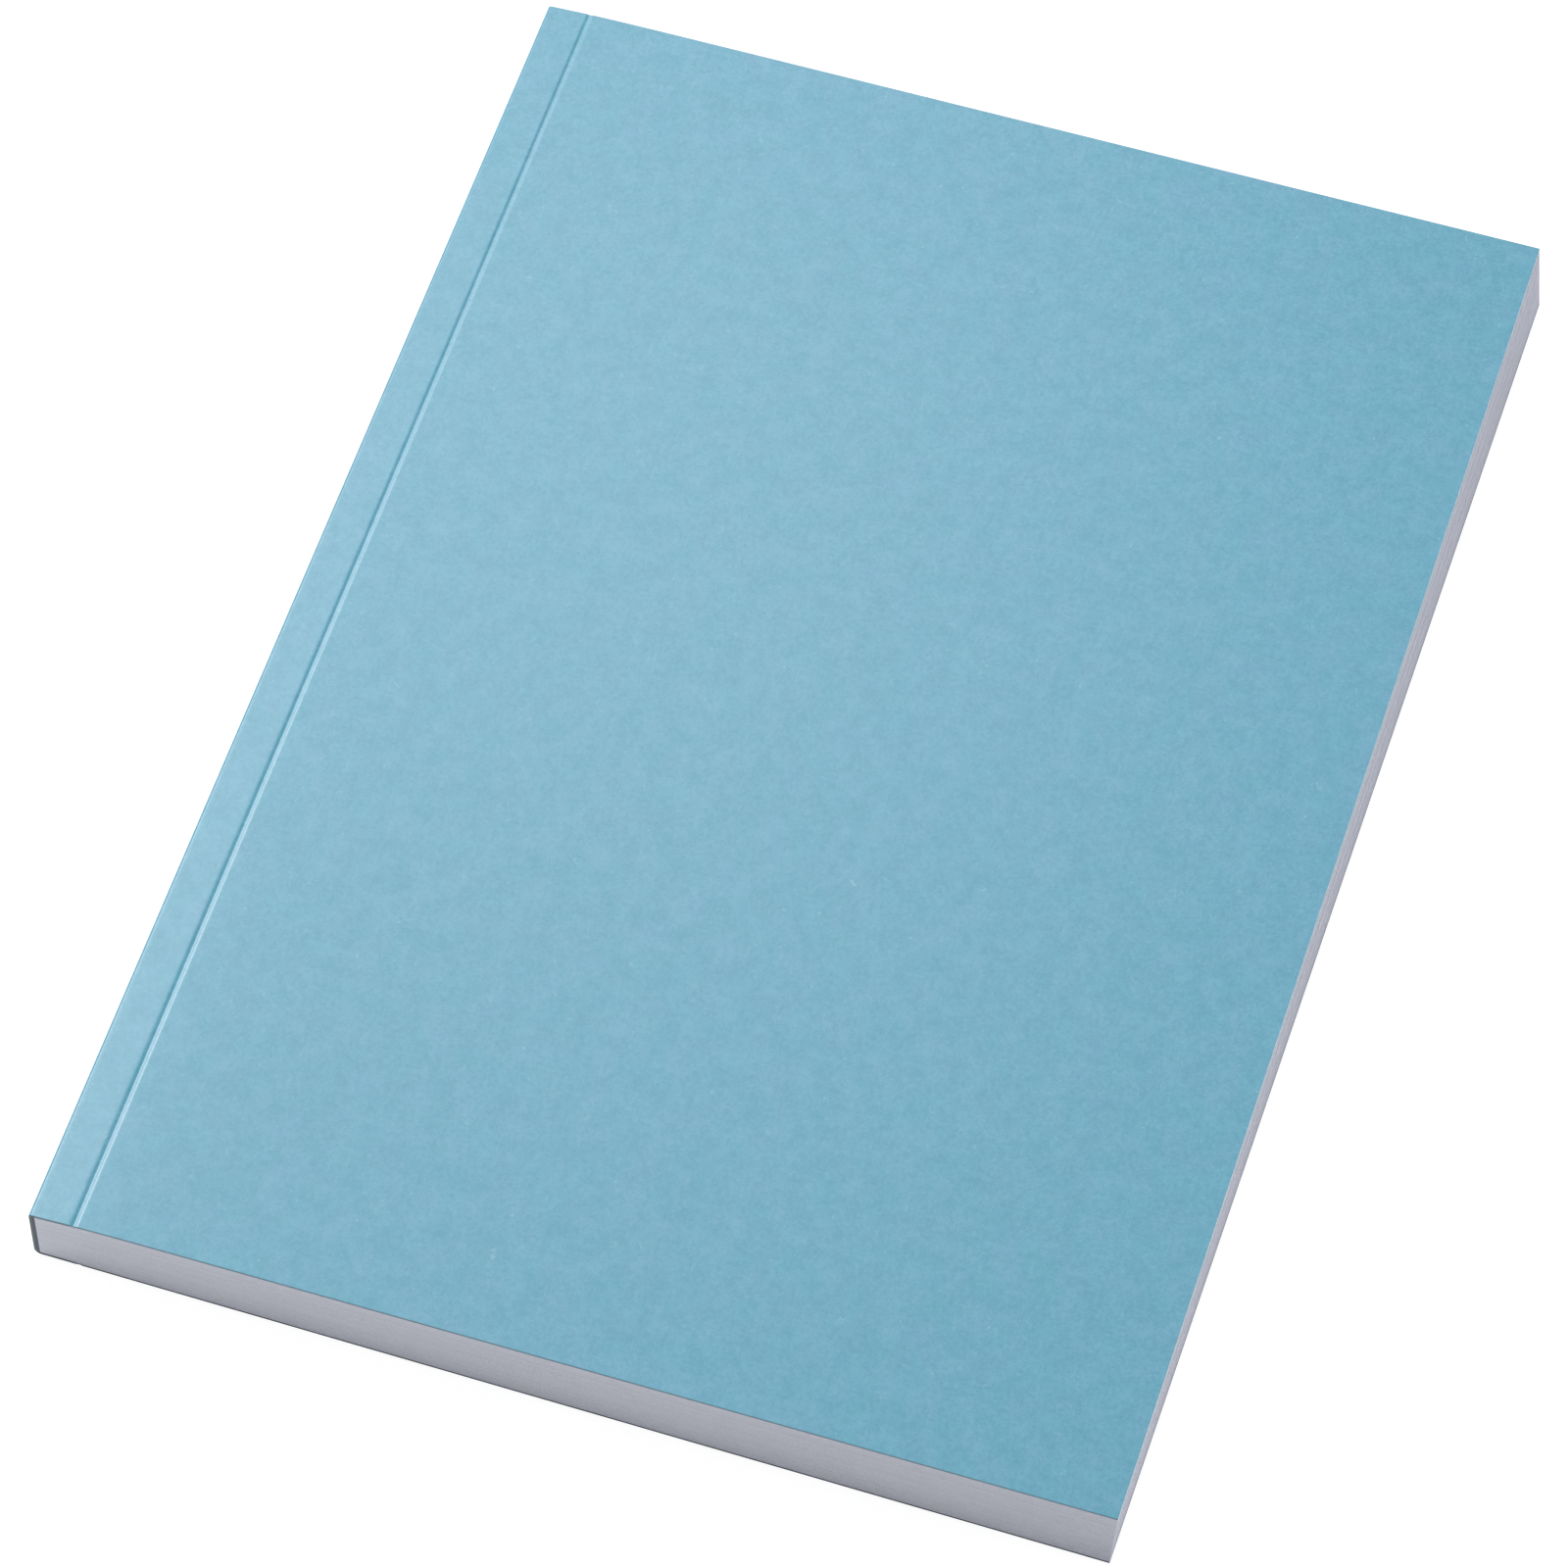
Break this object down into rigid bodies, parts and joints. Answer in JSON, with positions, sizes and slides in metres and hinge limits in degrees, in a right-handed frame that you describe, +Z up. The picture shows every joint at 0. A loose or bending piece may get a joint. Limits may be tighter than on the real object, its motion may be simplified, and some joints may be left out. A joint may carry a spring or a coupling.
{
  "type": "softcover notebook",
  "caption": "Perfect-bound softcover notebook lying flat: plain card cover with hinge scores beside the spine, opening on both sides of a glued block of leaves.",
  "frame": {"origin": "middle of the footprint, on the surface that the back cover lies on", "axes": "+X from the spine to the fore edge, +Y from the tail to the head, +Z up through the front cover"},
  "size_m": [0.1492, 0.21, 0.0129],
  "materials": {
    "cover_card": "matte",
    "leaves": "matte",
    "binding_glue": "satin"
  },
  "bodies": {
    "back_cover": {"back_cover": "cover_card"},
    "block": {"page_block": "leaves", "spine_adhesive": "binding_glue", "spine_wrap": "cover_card"},
    "front_cover": {"front_cover": "cover_card"}
  },
  "joints": [
    {"name": "back_hinge", "type": "hinge", "parent": "back_cover", "child": "block", "pos_m": [-0.06825, 0, 0], "axis": [0, -1, 0], "range_deg": [0, 175]},
    {"name": "front_hinge", "type": "hinge", "parent": "block", "child": "front_cover", "pos_m": [-0.06825, 0, 0.01062], "axis": [0, -1, 0], "range_deg": [0, 175]}
  ]
}
